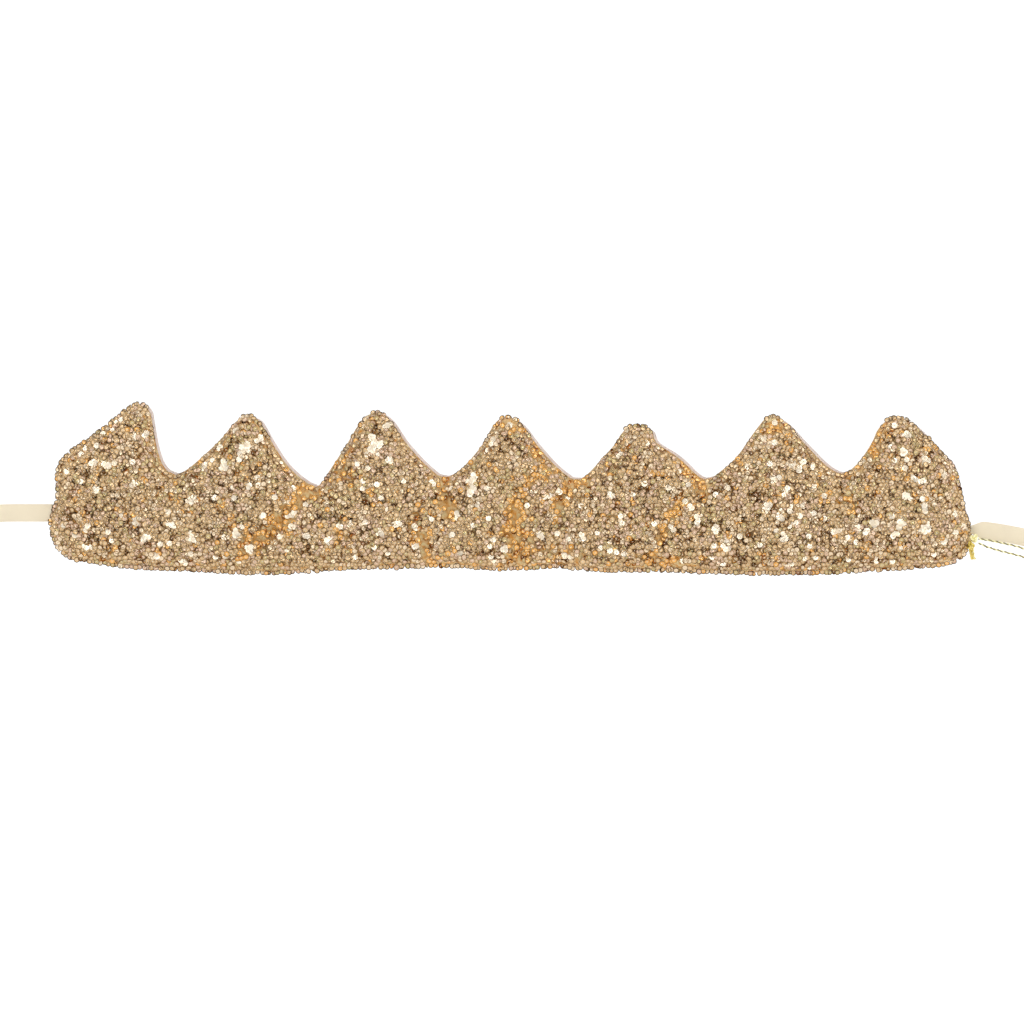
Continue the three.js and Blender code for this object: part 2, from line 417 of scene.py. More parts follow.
def make_ribbon(name, route, side, body, pinch):
    """A woven ribbon and its hank. A pinched one starts narrow and pleated, over that many mm."""
    start = np.array([(x, RIBBON_Y, z) for x, z in route])
    path = smooth_curve(np.vstack([start, hank_route(side)]) * MM, 1.2 * MM)
    gone = np.linspace(0, length_of(path), len(path))
    narrow = np.clip(gone / (pinch * MM), 0, 1) if pinch else np.ones(len(path))
    narrow = narrow * narrow * (3 - 2 * narrow)
    widths = RIBBON_WIDE * (0.42 + 0.58 * narrow)
    pleats = 0.55 * MM * (1 - narrow)
    # a loose ribbon isn't dead flat: it waves a little out of its own plane
    wave = 0.35 * MM * np.sin(gone * TURN / (47 * MM) + side) * np.clip(gone / (10 * MM), 0, 1)
    path[:, 1] += wave * np.clip(1 - (gone - 50 * MM) / (30 * MM), 0, 1)
    points, faces, uvs = ribbon_mesh(path, widths, pleats)
    made = make_object(f"{name}_woven", points, faces, materials=[RIBBON])
    layer = made.data.uv_layers.new(name="along")
    layer.data.foreach_set("uv", np.array(uvs).ravel())
    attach(made, body)
    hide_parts(name, f"{name}_hank")
    tie = make_tie(f"{name}_tape_tie", f"{name}_hank_tie", body)
    tuple(path[0])
    round(length_of(path), 3)


TAPE_WIDE, TAPE_THICK = 2.6 * MM, 0.3 * MM


def make_tie(name, node_name, body):
    """A loop of narrow tape round two runs of the hank, with a small flat knot on top."""
    low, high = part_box(node_name)
    middle = (low + high) / 2
    half_y, half_z = (high.y - low.y) / 2 - TAPE_THICK, (high.z - low.z) / 2 - TAPE_THICK
    loop, count = [], 40
    for step in range(count):
        turn = TURN * step / count
        bulge = 1 / max(abs(math.cos(turn)), abs(math.sin(turn))) ** 0.75
        loop.append((middle.x, middle.y + half_y * math.cos(turn) * bulge,
                     middle.z + half_z * math.sin(turn) * bulge))
    loop = np.array(loop)
    parts = [flat_band(loop, TAPE_WIDE, TAPE_THICK)]
    top = np.array([middle.x, middle.y, high.z])
    knot = [top + MM * np.array(offset) for offset in
            [(-1.3, -0.9, 0.1), (-0.6, 0.6, 0.9), (0.5, 0.9, 0.5), (0.9, -0.4, 1.0), (-0.1, -1.0, 0.7),
             (-1.0, 0.2, 0.5)]]
    parts.append(tube(smooth_curve(knot, 0.4 * MM), 0.5 * MM, 7))
    for lean in (-1, 1):
        tail = [top + MM * np.array((lean * x, lean * y, z)) for x, y, z in
                [(0, 0, 0.6), (2, 0.8, 1.0), (4, 1.2, 0.5), (6, 2.0, 0.3)]]
        parts.append(tube(smooth_curve(tail, 0.5 * MM), 0.4 * MM, 6))
    points, faces = joined(parts)
    made = make_object(name, points, faces, materials=[TIE_TAPE])
    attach(made, body)
    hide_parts(node_name)
    return made


def flat_band(loop, wide, thick):
    """A closed band of tape round a loop that lies in a plane of constant x."""
    out = np.cross(ring_along(loop), (1.0, 0, 0))
    corners = [(-wide / 2, 0), (wide / 2, 0), (wide / 2, thick), (-wide / 2, thick)]
    points = []
    for point, normal in zip(loop, out):
        points += [point + np.array((x, 0, 0)) + normal * y for x, y in corners]
    return points, [(a, d, c, b) for a, b, c, d in ring_faces(len(loop), len(corners), True)]


THREAD_THICK = 1.0 * MM
LOOP_ROUTE = [
    (212.9, -4.4, 16.2), (218, -4.5, 15.4), (224, -4.7, 14.2), (231, -5, 12.5), (238, -5.6, 9.8),
    (245, -6.6, 6.2), (252, -8.2, 2.8), (259, -10, 0.9), (265, -11.4, 0.6), (270, -13.4, 0.6),
    (272, -16, 0.6), (269.6, -18, 0.6), (265, -17.4, 0.6), (258, -14.8, 0.7), (251, -12, 1.6),
    (244, -9.4, 3.8), (237, -7.4, 6.6), (230, -6.2, 8.8), (223, -5.6, 10.6), (217, -5.2, 12.4),
    (212.8, -5, 14.3),
]


def two_ply(path, thick, pitch):
    """Two strands twisted round a path, together as thick as the thread."""
    along = unit(np.gradient(path, axis=0))
    side = unit(np.cross(along, (0.1, 1.0, 0.2)))
    up = np.cross(along, side)
    gone = so_far(path)
    parts = []
    for half in (0, math.pi):
        turn = gone * TURN / pitch + half
        strand = path + thick * 0.23 * (np.cos(turn)[:, None] * side + np.sin(turn)[:, None] * up)
        parts.append(tube(strand, thick * 0.28, 6))
    return parts


def threads(name, coloured):
    """An object of several tubes, each given with the slot of its thread: 0 gold, 1 gold in painted shade, 2
    gold in painted highlight.
    """
    points, faces = joined([part for part, _ in coloured])
    slots = [slot for (_, part_faces), slot in coloured for _ in part_faces]
    return make_object(name, points, faces, materials=THREADS, slots=slots)


def trefoil(centre, scale, lean):
    """The line of a trefoil knot, turned about the line of sight."""
    turns = np.linspace(0, TURN, 90, endpoint=False)
    x = np.sin(turns) + 2 * np.sin(2 * turns)
    z = np.cos(turns) - 2 * np.cos(2 * turns)
    sine, cosine = math.sin(lean), math.cos(lean)
    turned = (x * cosine - z * sine, 1.5 * np.sin(3 * turns), x * sine + z * cosine)
    return np.stack(turned, axis=1) * scale * MM + centre


def make_hang_thread():
    path = smooth_curve(np.array(LOOP_ROUTE) * MM, 0.3 * MM)
    # One ply is painted pale and the other dark: a painted highlight and painted shade along the twist.
    light, dark = two_ply(path, THREAD_THICK, 3.4 * MM)
    loop = threads("hang_thread", [(light, 2), (dark, 1)])
    low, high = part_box("hang_thread_knot")
    first = np.array([low.x + 1.2 * MM, low.y + 0.6 * MM, high.z - 0.6 * MM])
    second = first + np.array([-1.6, 0.2, -3.2]) * MM
    # The first knot is painted pale: a painted highlight.
    parts = [(tube(trefoil(first, 0.52, 0.3), 0.62 * MM, 8, closed=True), 2),
             (tube(trefoil(second, 0.50, 1.2), 0.60 * MM, 8, closed=True), 0)]
    for lean in (-1, 0, 1):
        tail = second + MM * np.array([(lean * 0.4, -0.4, 0), (0.3 + lean * 0.75, -0.5, -1.7),
                                       (0.5 + lean * 0.7, -0.6 - abs(lean) * 0.3, -3.4),
                                       (0.8 + lean * 0.6, -0.4, -5.0), (1.3 + lean * 0.8, -0.3, -6.4)])
        light, dark = two_ply(smooth_curve(tail, 0.3 * MM), THREAD_THICK, 2.6 * MM)
        # The right-hand tail's first ply is painted pale: a painted highlight.
        parts += [(light, 2 if lean > 0 else 0), (dark, 0)]
    knot = threads("hang_thread_knot_and_tail", parts)
    for made, name in ((loop, "hang_thread_loop"), (knot, "hang_thread_knot")):
        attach(made, "panel_7")
        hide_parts(name)
    tuple(path[0])
    round(length_of(path), 3)


# ---------------------------------------------------------------- the crown's outline

OUTLINE_STEP = 2.0 * MM
FRONT_STEP = 2.6 * MM
LINING_STEP = 4.0 * MM


def on_notch(key):
    """Whether a point, given in whole micrometres, lies on the joint face between two panels."""
    return any(abs(key[0] * MICRON - notch) < 0.3 * MM for notch in NOTCHES)


def layer_ring(layer):
    """The outline of a CAD layer's front face, all seven panels together, as an even ring of (x, z)."""
    edges = Counter()
    for number in PANELS:
        name = f"{layer}_{number}"
        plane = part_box(name)[0].y
        mesh = frame["nodes"][name].data
        for face in mesh.polygons:
            corners = [mesh.vertices[v].co for v in face.vertices]
            if all(abs(c.y - plane) < MICRON for c in corners):
                keys = [(round(c.x / MICRON), round(c.z / MICRON)) for c in corners]
                for a, b in zip(keys, keys[1:] + keys[:1]):
                    edges[tuple(sorted((a, b)))] += 1
    near = defaultdict(list)
    for (a, b), times in edges.items():
        if times == 1 and not (on_notch(a) and on_notch(b)):
            near[a].append(b)
            near[b].append(a)
    here = min(near, key=lambda p: (len(near[p]), p))
    ring, left = [here], set(near) - {here}
    while left:
        after = [p for p in near[here] if p in left]
        here = after[0] if after else min(left, key=lambda p: math.dist(p, here))
        left.discard(here)
        ring.append(here)
    line = np.array([*ring, ring[0]], float) * MICRON
    if np.sum(line[:-1, 0] * line[1:, 1] - line[1:, 0] * line[:-1, 1]) < 0:
        line = line[::-1]
    return resampled(line, OUTLINE_STEP)[:-1]


def inside(points, ring):
    """Which points lie inside the ring."""
    x, z = points[:, 0][:, None], points[:, 1][:, None]
    x1, z1 = ring[:, 0], ring[:, 1]
    x2, z2 = np.roll(x1, -1), np.roll(z1, -1)
    crosses = (z1 > z) != (z2 > z)
    at = x1 + (z - z1) / np.where(z2 == z1, 1e-12, z2 - z1) * (x2 - x1)
    return (crosses & (x < at)).sum(1) % 2 == 1


def depth_in(points, ring):
    """The distance to the ring, in metres, below 0 outside it."""
    far = np.full(len(points), 1e9)
    for a, b in zip(ring, np.roll(ring, -1, 0)):
        ab = b - a
        t = np.clip(((points - a) @ ab) / (ab @ ab), 0, 1)
        far = np.minimum(far, np.linalg.norm(points - a - t[:, None] * ab, axis=1))
    return np.where(inside(points, ring), far, -far)


def lattice(ring, spacing, jitter):
    """Points of a jittered hexagonal lattice inside the ring, and how deep inside each one is."""
    low, high = ring.min(0) - 2 * spacing, ring.max(0) + 2 * spacing
    rows = np.arange(low[1], high[1], spacing * math.sqrt(0.75))
    points = [(x + (row % 2) * spacing / 2, z) for row, z in enumerate(rows)
              for x in np.arange(low[0], high[0], spacing)]
    points = np.array(points) + rng.uniform(-jitter, jitter, (len(points), 2)) * spacing
    depth = depth_in(points, ring)
    kept = depth > 0
    return points[kept], depth[kept]


def flat_sheet(ring, spacing):
    """A triangulated sheet inside the ring, with edges along the lines between segments."""
    points, depth = lattice(ring, spacing, 0.12)
    points = points[depth > 0.55 * spacing]
    for cut in CUTS:
        points = points[np.abs(points[:, 0] - cut) > 0.45 * spacing]
    heights = np.arange(-0.01, 0.09, spacing)
    lines, edges = [], []
    for cut in CUTS:
        first = len(lines)
        lines += [(cut, z) for z in heights]
        edges += [(k, k + 1) for k in range(first, len(lines) - 1)]
    base = len(ring) + len(points)
    vertices = [Vector(p) for p in (*ring, *points, *lines)]
    edges = [(a + base, b + base) for a, b in edges]
    made = delaunay_2d_cdt(vertices, edges, [list(range(len(ring)))], 1, 1e-7)
    return np.array([tuple(p) for p in made[0]]), [tuple(f) for f in made[2]]


def smooth_noise(points, scale, seed):
    """A smooth random value for each (x, z), about -1 to 1, from a few sine waves."""
    own = np.random.default_rng(seed)
    value = np.zeros(len(points))
    for _ in range(7):
        direction = own.uniform(0, TURN)
        wave = own.uniform(0.6, 1.6) * TURN / scale
        phase = own.uniform(0, TURN)
        across = points[:, 0] * math.cos(direction) + points[:, 1] * math.sin(direction)
        value += np.sin(across * wave + phase)
    return value / 2.6


# Creases in the padding, as (from, to, half-width, strength) in mm: the foil cloth shows warm in them
CREASES = [
    ((-121, 12), (-101, 27), 5.0, 1.0),
    ((-103, 27), (-91, 38), 4.5, 1.0),
    ((-79, 50), (-70, 42), 3.5, 0.6),
    ((-77, 20), (-74, 13), 3.0, 0.6),
    ((-31, 42), (-28, 28), 4.0, 1.0),
    ((-43, 23), (-36, 6), 4.5, 0.8),
    ((9, 58), (16, 44), 3.0, 0.7),
    ((2, 29), (4, 6), 5.5, 1.0),
    ((3, 30), (9, 44), 3.5, 0.6),
    ((20, 31), (32, 43), 5.5, 0.9),
    ((9, 13), (30, 8), 3.5, 0.5),
    ((80, 50), (87, 38), 4.0, 1.0),
    ((68, 18), (78, 34), 3.5, 0.7),
    ((42, 27), (49, 26), 3.0, 0.6),
    ((60, 5), (82, 5), 2.5, 0.5),
    ((57, 8.4), (80, 7.4), 1.3, 1.0),
    ((-6, 69), (3, 68), 4.0, 0.5),
    ((115, 68), (124, 66), 4.5, 0.5),
    ((149, 37), (156, 31), 4.0, 0.5),
    ((164, 53), (169, 63), 3.5, 0.4),
]


def crease(points):
    """From about 1 along a crease's line to 0 beyond its half-width."""
    value = np.zeros(len(points))
    ragged = 1 + 0.45 * smooth_noise(points, 0.009, 51)
    for start, end, wide, strength in CREASES:
        a, b = np.array(start) * MM, np.array(end) * MM
        ab = b - a
        t = np.clip(((points - a) @ ab) / (ab @ ab), 0, 1)
        off = np.linalg.norm(points - a - t[:, None] * ab, axis=1) / (wide * MM * np.maximum(ragged, 0.3))
        value = np.maximum(value, strength * np.clip(1.3 * (1 - off), 0, 1) ** 0.7)
    return value


EDGE_ROUND = 6.5 * MM
EDGE_BACK = 1.0 * MM
CREASE_DEEP = 1.1 * MM


def puffed(points, depth):
    """How far in front of the lining the padded front stands, from its distance to the edge."""
    full = -CLOTH_FRONT - EDGE_BACK
    rise = np.sqrt(1 - (1 - np.clip(depth / EDGE_ROUND, 0, 1)) ** 2)
    swell = 1 + 0.10 * smooth_noise(points, 0.055, 3) + 0.05 * smooth_noise(points, 0.02, 4)
    sunk = CREASE_DEEP * crease(points)
    return EDGE_BACK + full * rise * swell - sunk * rise


MOST_MOVED = 2.2 * MM
SIMULATED_FRAMES = 22


def simulate(sheet, ring_count):
    """Inflates the sheet a little with its edge held, ten times its size, so that the cloth puckers."""
    grown = 10.0
    count = len(sheet.data.vertices)
    before = np.zeros(count * 3)
    sheet.data.vertices.foreach_get("co", before)
    before = before.reshape(-1, 3)
    sheet.data.vertices.foreach_set("co", (before * grown).ravel())
    held = sheet.vertex_groups.new(name="held")
    held.add(list(range(ring_count)), 1.0, "REPLACE")
    cloth = sheet.modifiers.new("cloth", "CLOTH")
    settings = cloth.settings
    settings.vertex_group_mass = "held"
    settings.mass = 0.05
    settings.quality = 6
    settings.use_pressure = True
    settings.uniform_pressure_force = 3.0
    settings.shrink_min = -0.035
    settings.effector_weights.gravity = 0.0
    cloth.point_cache.frame_start, cloth.point_cache.frame_end = 1, SIMULATED_FRAMES
    scene = bpy.context.scene
    for step in range(1, SIMULATED_FRAMES + 1):
        scene.frame_set(step)
    seen = sheet.evaluated_get(bpy.context.evaluated_depsgraph_get())
    after = np.zeros(count * 3)
    seen.data.vertices.foreach_get("co", after)
    after = after.reshape(-1, 3) / grown
    sheet.modifiers.remove(cloth)
    scene.frame_set(1)
    moved = after - before
    moved[~np.isfinite(moved)] = 0
    far = np.linalg.norm(moved, axis=1, keepdims=True)
    moved *= np.minimum(1, MOST_MOVED / np.maximum(far, 1e-9))
    return before + moved


def facing(way, points, faces):
    """The faces, turned over if the first doesn't face that way: -1 to the front, 1 to the back."""
    a, b, c = points[list(faces[0][:3])]
    return [face[::-1] for face in faces] if np.cross(b - a, c - a)[1] * way < 0 else faces


def segment_of(faces, points):
    """The segment, 0 to 5, that each face belongs to."""
    x = np.array([np.mean([points[v][0] for v in face]) for face in faces])
    return np.searchsorted(CUTS, x)


def part_of(points, faces, chosen):
    """The chosen faces with only the points that they use."""
    kept = [face for face, use in zip(faces, chosen) if use]
    used = sorted({v for face in kept for v in face})
    place = {v: k for k, v in enumerate(used)}
    return np.asarray(points)[used], [tuple(place[v] for v in face) for face in kept]


def vertex_normals(points, faces):
    triangles = np.array(faces)
    a, b, c = (points[triangles[:, k]] for k in range(3))
    across = np.cross(b - a, c - a)
    total = np.zeros_like(points)
    for k in range(3):
        np.add.at(total, triangles[:, k], across)
    return unit(total)


def thickened(outer, inner, faces):
    """A closed shell between two copies of a sheet."""
    count = len(outer)
    edges = Counter(frozenset(e) for face in faces for e in zip(face, face[1:] + face[:1]))
    shell = list(faces) + [tuple(v + count for v in face[::-1]) for face in faces]
    for face in faces:
        for a, b in zip(face, face[1:] + face[:1]):
            if edges[frozenset((a, b))] == 1:
                shell.append((b, a, a + count, b + count))
    return np.vstack([outer, inner]), shell


def make_shell(name, outer, inner, faces, material):
    """A shell whose walls along the lines between segments have sharp edges, so that no seam shows."""
    points, shell = thickened(outer, inner, faces)
    made = make_object(name, points, shell, materials=[material])
    sharp = set()
    for face in list(made.data.polygons)[2 * len(faces):]:
        off = max(min(abs(cut - points[v][0]) for cut in CUTS) for v in face.vertices)
        if off < MOST_MOVED + 0.3 * MM and abs(face.normal.x) > 0.7:
            face.use_smooth = False
            sharp |= set(face.edge_keys)
    marks = made.data.attributes.new("sharp_edge", "BOOLEAN", "EDGE")
    marks.data.foreach_set("value", [edge.key in sharp for edge in made.data.edges])
    return made


def surface_area(points, faces):
    corners = points[np.array(faces)]
    across = np.cross(corners[:, 1] - corners[:, 0], corners[:, 2] - corners[:, 0])
    return float(np.linalg.norm(across, axis=1).sum() / 2)


def cut_size(flat, surface, faces):
    """A cloth's cut width, length and area: its (x, z) layout, made longer by what the puff takes."""
    area = surface_area(surface, faces)
    more = area / surface_area(np.insert(flat, 1, 0, axis=1), faces)
    width, length = np.ptp(flat, axis=0).tolist()
    return width, length * more, area


CLOTH_THICK = 0.45 * MM
WADDING_GAP = 0.25 * MM
WADDING_FRONT, WADDING_BACK = LINING_FRONT - 0.4 * MM, LINING_FRONT - 0.3 * MM


def make_front():
    """The puffed front and the wadding behind it. Returns the sheet, its outline and its segments' cloths."""
    cloths = []
    ring = layer_ring("sequin_cloth")
    flat, faces = flat_sheet(ring, FRONT_STEP)
    depth = np.maximum(depth_in(flat, ring), 0)
    points = np.stack([flat[:, 0], -puffed(flat, depth), flat[:, 1]], axis=1)
    faces = facing(-1, points, faces)
    held = np.flatnonzero(depth < 0.05 * MM)
    order = np.concatenate([held, np.setdiff1d(np.arange(len(points)), held)])
    place = np.argsort(order)
    sheet = make_object("sheet_for_simulation", points[order], [tuple(place[list(f)]) for f in faces])
    points = simulate(sheet, len(held))[place]
    bpy.data.objects.remove(sheet)
    normals = vertex_normals(points, faces)
    segments = segment_of(faces, flat)
    for segment in SEGMENTS:
        numbers, own = (segment + 1, segment + 2), segments == segment
        outer, used = part_of(points, faces, own)
        turned, _ = part_of(normals, faces, own)
        layout, _ = part_of(flat, faces, own)
        inner = outer - turned * CLOTH_THICK
        made = make_shell(f"front_cloth_{segment + 1}", outer, inner, used, GROUND_CLOTH)
        cloths.append((made, cut_size(layout, outer, used)))
        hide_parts(*(f"sequin_cloth_{n}" for n in numbers))
        bend(made, segment)
        filling = outer - turned * (CLOTH_THICK + WADDING_GAP)
        filling[:, 1] = np.minimum(filling[:, 1], WADDING_FRONT)
        behind = filling.copy()
        behind[:, 1] = WADDING_BACK
        made = make_shell(f"wadding_fill_{segment + 1}", filling, behind, used, WADDING)
        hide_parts(*(f"wadding_{n}" for n in numbers))
        bend(made, segment)
    return points, faces, ring, cloths


# ---------------------------------------------------------------- sequins

SEQUIN_SIDES = 8
SEQUIN_RADII = np.array([0.34, 0.93, 1.40]) * MM
SEQUIN_RISE = np.array([0.0, 0.04, 0.25]) * MM
FOIL = 0.07 * MM
SEQUIN_PITCH = 1.80 * MM
EDGE_ROW = 0.3 * MM
EDGE_ACROSS, EDGE_ALONG = 0.12, 0.3  # how far an edge sequin strays, in pitches
LEAN_SPREAD, LEAN_MOST = 0.19, 1.1
SPARKLES, SPARKLE_SPREAD = 240, 0.05
GLINTS, GLINT_SPREAD = 520, 0.13
SPARKLE_REACH = (0.4 * MM, 1.9 * MM)
GLINT_REACH = 0.1 * MM
FLASH_INSET = 2.2 * MM
# The pale look is a painted highlight for the sequins turned to the flash.
# The three rim looks are dark colours painted on each sequin's outer band: painted shade.
CHAMPAGNE, WARM, ROSE, OLIVE, LIGHT, PAINTED_HIGHLIGHT, RIM, WARM_RIM, EDGE_RIM, STITCH = range(10)


def sequin_template():
    """One cupped sequin facing +Z: points, faces, and each face's part (0 foil, 1 rim, 2 stitch)."""
    turn = np.arange(SEQUIN_SIDES) * TURN / SEQUIN_SIDES

    def circle(radius, height):
        return np.stack([np.cos(turn) * radius, np.sin(turn) * radius, np.full(SEQUIN_SIDES, height)], axis=1)

    loop = [circle(radius, height) for radius, height in zip(SEQUIN_RADII, SEQUIN_RISE)]
    loop += [circle(SEQUIN_RADII[k], SEQUIN_RISE[k] - FOIL) for k in (2, 0)]
    faces = [face[::-1] for face in ring_faces(len(loop), SEQUIN_SIDES, True)]
    # Part 1, the outer band, takes a dark rim colour: painted shade.
    parts = [1 if ring in (1, 2) else 0 for ring in range(len(loop)) for _ in range(SEQUIN_SIDES)]
    stitch = [circle(0.32 * MM, 0.0), [(0, 0, 0.16 * MM), (0, 0, -0.15 * MM)]]
    points = np.concatenate(loop + stitch)
    base = len(loop) * SEQUIN_SIDES
    tip = base + SEQUIN_SIDES
    for k in range(SEQUIN_SIDES):
        step = (k + 1) % SEQUIN_SIDES
        faces += [(base + k, base + step, tip), (base + step, base + k, tip + 1)]
        parts += [2, 2]
    return points, faces, np.array(parts)


def towards(normals, tilt_x, tilt_z):
    """The normals leant sideways and upwards by small angles, in radians."""
    side = unit(np.cross(normals, (0, 0, 1.0)))
    up = np.cross(side, normals)
    return unit(normals + np.tan(tilt_x)[:, None] * side + np.tan(tilt_z)[:, None] * up)


def place_sequins(sheet_points, sheet_faces, ring):
    """Where each sequin sits, which way it faces, how deep its crease is, its (x, z) and its depth."""
    flat, depth = lattice(ring, SEQUIN_PITCH, 0.28)
    sunk = crease(flat)
    patchy = np.clip(0.75 + 0.9 * smooth_noise(flat, 0.0065, 61), 0.25, 1)
    thinned = (rng.random(len(flat)) < sunk * patchy) & (depth > 1.5 * MM)
    kept = ~thinned & (depth > bare_margin(flat, ring) + EDGE_ROW + 0.75 * SEQUIN_PITCH)
    flat = np.vstack([edge_row(ring), flat[kept]])
    depth, sunk = depth_in(flat, ring), crease(flat)
    tree = BVHTree.FromPolygons([Vector(p) for p in sheet_points], sheet_faces)
    at, normals = np.zeros((len(flat), 3)), np.zeros((len(flat), 3))
    for index, (x, z) in enumerate(flat):
        hit, normal, _, _ = tree.ray_cast(Vector((x, -0.1, z)), Vector((0, 1, 0)))
        if hit is None:
            hit, normal, _, _ = tree.find_nearest(Vector((x, -1.6 * MM, z)))
            hit = Vector((x, hit.y - 0.6 * MM, z))
        at[index], normals[index] = hit, normal
    normals = unit(normals + np.outer(0.35 + 1.6 * np.clip(1 - depth / (1.5 * MM), 0, 1), (0, -1.0, 0)))
    count = len(flat)
    tipped = np.where(rng.random(count) < 0.03, 3.2, 1.0)
    lean_x = 0.14 * smooth_noise(flat, 0.018, 11) + 0.16 * smooth_noise(flat, 0.004, 13)
    lean_z = 0.14 * smooth_noise(flat, 0.018, 12) + 0.16 * smooth_noise(flat, 0.004, 14)
    lean_x = lean_x + rng.normal(0, LEAN_SPREAD, count) * tipped
    lean_z = lean_z + rng.normal(0, LEAN_SPREAD, count) * tipped
    way = towards(normals, *np.clip([lean_x, lean_z], -LEAN_MOST, LEAN_MOST))
    at += way * (rng.uniform(0.25, 0.8, count) * MM)[:, None]
    return at, way, sunk, flat, depth


def edge_row(ring):
    """One row of sequins along the outline, a little inside where they start."""
    line = resampled(np.vstack([ring, ring[:1]]), SEQUIN_PITCH)[:-1]
    along = ring_along(line)
    strays = rng.uniform(-EDGE_ACROSS, EDGE_ACROSS, len(line)) * SEQUIN_PITCH
    deep = bare_margin(line, ring) + EDGE_ROW + strays
    aside = rng.uniform(-EDGE_ALONG, EDGE_ALONG, len(line)) * SEQUIN_PITCH
    return line - outward_of(along) * deep[:, None] + along * aside[:, None]


TIPS_FROM = 62 * MM


def bare_margin(points, ring):
    """How far inside the outline the sequins start: they stay clear of right flanks and notches."""
    after = np.roll(ring, -1, 0)
    middle, along = (ring + after) / 2, unit(after - ring)
    nearest = np.array([np.argmin(((middle - p) ** 2).sum(1)) for p in points])
    x, z = outward_of(along)[nearest].T
    low = points[:, 1] < TIPS_FROM
    margin = np.full(len(points), 0.1)
    margin[z < -0.5] = -0.1
    margin[(x < -0.2) & (z > 0.2) & (points[:, 0] > -160 * MM)] = 1.1
    margin[(np.abs(x) <= 0.3) & (z > 0.2) & low] = 1.4
    margin[(x > 0.25) & (z > -0.1) & low & (points[:, 0] < 185 * MM)] = 1.6
    margin[(x > 0.35) & (z > 0.0) & ~low] = 0.9
    margin[(z > 0.2) & ~low & (np.abs(x) < 0.5)] = 0.1
    return (margin + 0.25 * np.clip(smooth_noise(points, 0.006, 41), -1, 1)) * MM


def make_sequins(sheet_points, sheet_faces, ring, cloths):
    """The sequins, one object for each segment."""
    at, way, sunk, flat, depth = place_sequins(sheet_points, sheet_faces, ring)
    count = len(at)
    at, way, painted_flash = with_sparkles(at, way, depth)
    template, faces, parts = sequin_template()
    spin = rng.uniform(0, TURN, count)
    size = rng.uniform(0.9, 1.04, count)
    side = unit(np.cross(way, (0.02, 0.01, 1.0)))
    up = np.cross(way, side)
    x_axis = np.cos(spin)[:, None] * side + np.sin(spin)[:, None] * up
    y_axis = np.cross(way, x_axis)
    axes = np.stack([x_axis, y_axis, way], axis=1)
    flatness = np.where(painted_flash, 0.12, 1.0)[:, None] * np.array((0, 0, 1.0)) + np.array((1.0, 1.0, 0))
    cups = template[None, :, :] * flatness[:, None, :] * size[:, None, None]
    placed = at[:, None, :] + np.einsum("nvk,nkj->nvj", cups, axes)
    warm = rng.random(count) < 0.03 + 0.10 * np.clip(smooth_noise(flat, 0.022, 23), 0, 1) + 1.1 * sunk
    light = rng.random(count) < 0.13 + 0.28 * smooth_noise(flat, 0.010, 24)
    grey = rng.random(count) < 0.20 + 0.12 * smooth_noise(flat, 0.03, 21)
    olive = rng.random(count) < 0.18 + 0.16 * smooth_noise(flat, 0.02, 22)
    # Sequins in the flash groups get a pale foil colour, face and rim: a painted highlight.
    tint = np.select([painted_flash, warm, light, grey, olive], [PAINTED_HIGHLIGHT, WARM, LIGHT, ROSE, OLIVE], CHAMPAGNE)
    # Each sequin's outer band is painted dark, as painted shade at its edge. It is darkest within 1.3 mm of
    # the outline and warmer on warm sequins.
    rim = np.select([painted_flash, depth < 1.3 * MM, warm], [PAINTED_HIGHLIGHT, EDGE_RIM, WARM_RIM], RIM)
    looks = np.select([parts == 0, parts == 1], [tint[:, None], rim[:, None]], STITCH)
    segments = np.searchsorted(CUTS, at[:, 0])
    for segment in SEGMENTS:
        own = np.flatnonzero(segments == segment)
        points = placed[own].reshape(-1, 3)
        shifts = np.arange(len(own)) * len(template)
        every = [tuple(v + shift for v in face) for shift in shifts for face in faces]
        made = make_object(f"sequins_{segment + 1}", points, every, smooth=False, materials=SEQUIN_LOOKS,
                           slots=looks[own].ravel().astype(np.int32))
        bend(made, segment)
        cloth, (width, length, area) = cloths[segment]


def with_sparkles(at, way, depth):
    """Turns small groups of sequins to the flash, and more single ones nearly so, as chance does on cloth.
    The groups are marked for a pale foil colour, which is a painted highlight.
    """
    eye = unit(np.array(CAMERA_AT) - at)
    lamps = np.array(FLASHES)
    at, way, painted_flash = at.copy(), way.copy(), np.zeros(len(at), bool)
    chosen = rng.choice(np.flatnonzero(depth > FLASH_INSET), SPARKLES + GLINTS, replace=False)
    for index, middle in enumerate(chosen):
        group = index < SPARKLES
        reach = rng.uniform(*SPARKLE_REACH) if group else GLINT_REACH
        near = np.linalg.norm(at - at[middle], axis=1) < reach
        lamp = unit(lamps[index % len(lamps)] - at[near])
        spread = SPARKLE_SPREAD if group else GLINT_SPREAD
        way[near] = unit(unit(eye[near] + lamp) + rng.normal(0, spread, (near.sum(), 3)))
        at[near, 1] = at[near, 1].mean() - (0.35 + rng.uniform(0, 0.15, near.sum())) * MM
        if group:
            painted_flash |= near
    return at, way, painted_flash


# ---------------------------------------------------------------- lining and stitching

TUCKED_IN = 1.1 * MM
TUCKED_FROM, TUCKED_OVER = 56 * MM, 10 * MM
LINING_THICK = 0.5 * MM
STITCH_INSET = 3.2 * MM
STITCH_LENGTH = 2.6 * MM
STITCH_STEP = 4.2 * MM
TACKS = [(-0.2035, 0.028), (0.2035, 0.0205)]
TACK_LENGTH, TACK_TURNS = 9 * MM, 27


def tucked(ring):
    """The lining's outline, drawn in at the tips, where the photo shows none of it."""
    outward = outward_of(ring_along(ring))
    high = np.clip((ring[:, 1] - TUCKED_FROM) / TUCKED_OVER, 0, 1)
    hidden = high * np.clip((0.85 - outward[:, 0]) / 0.4, 0, 1)
    return ring - outward * (TUCKED_IN * hidden)[:, None]


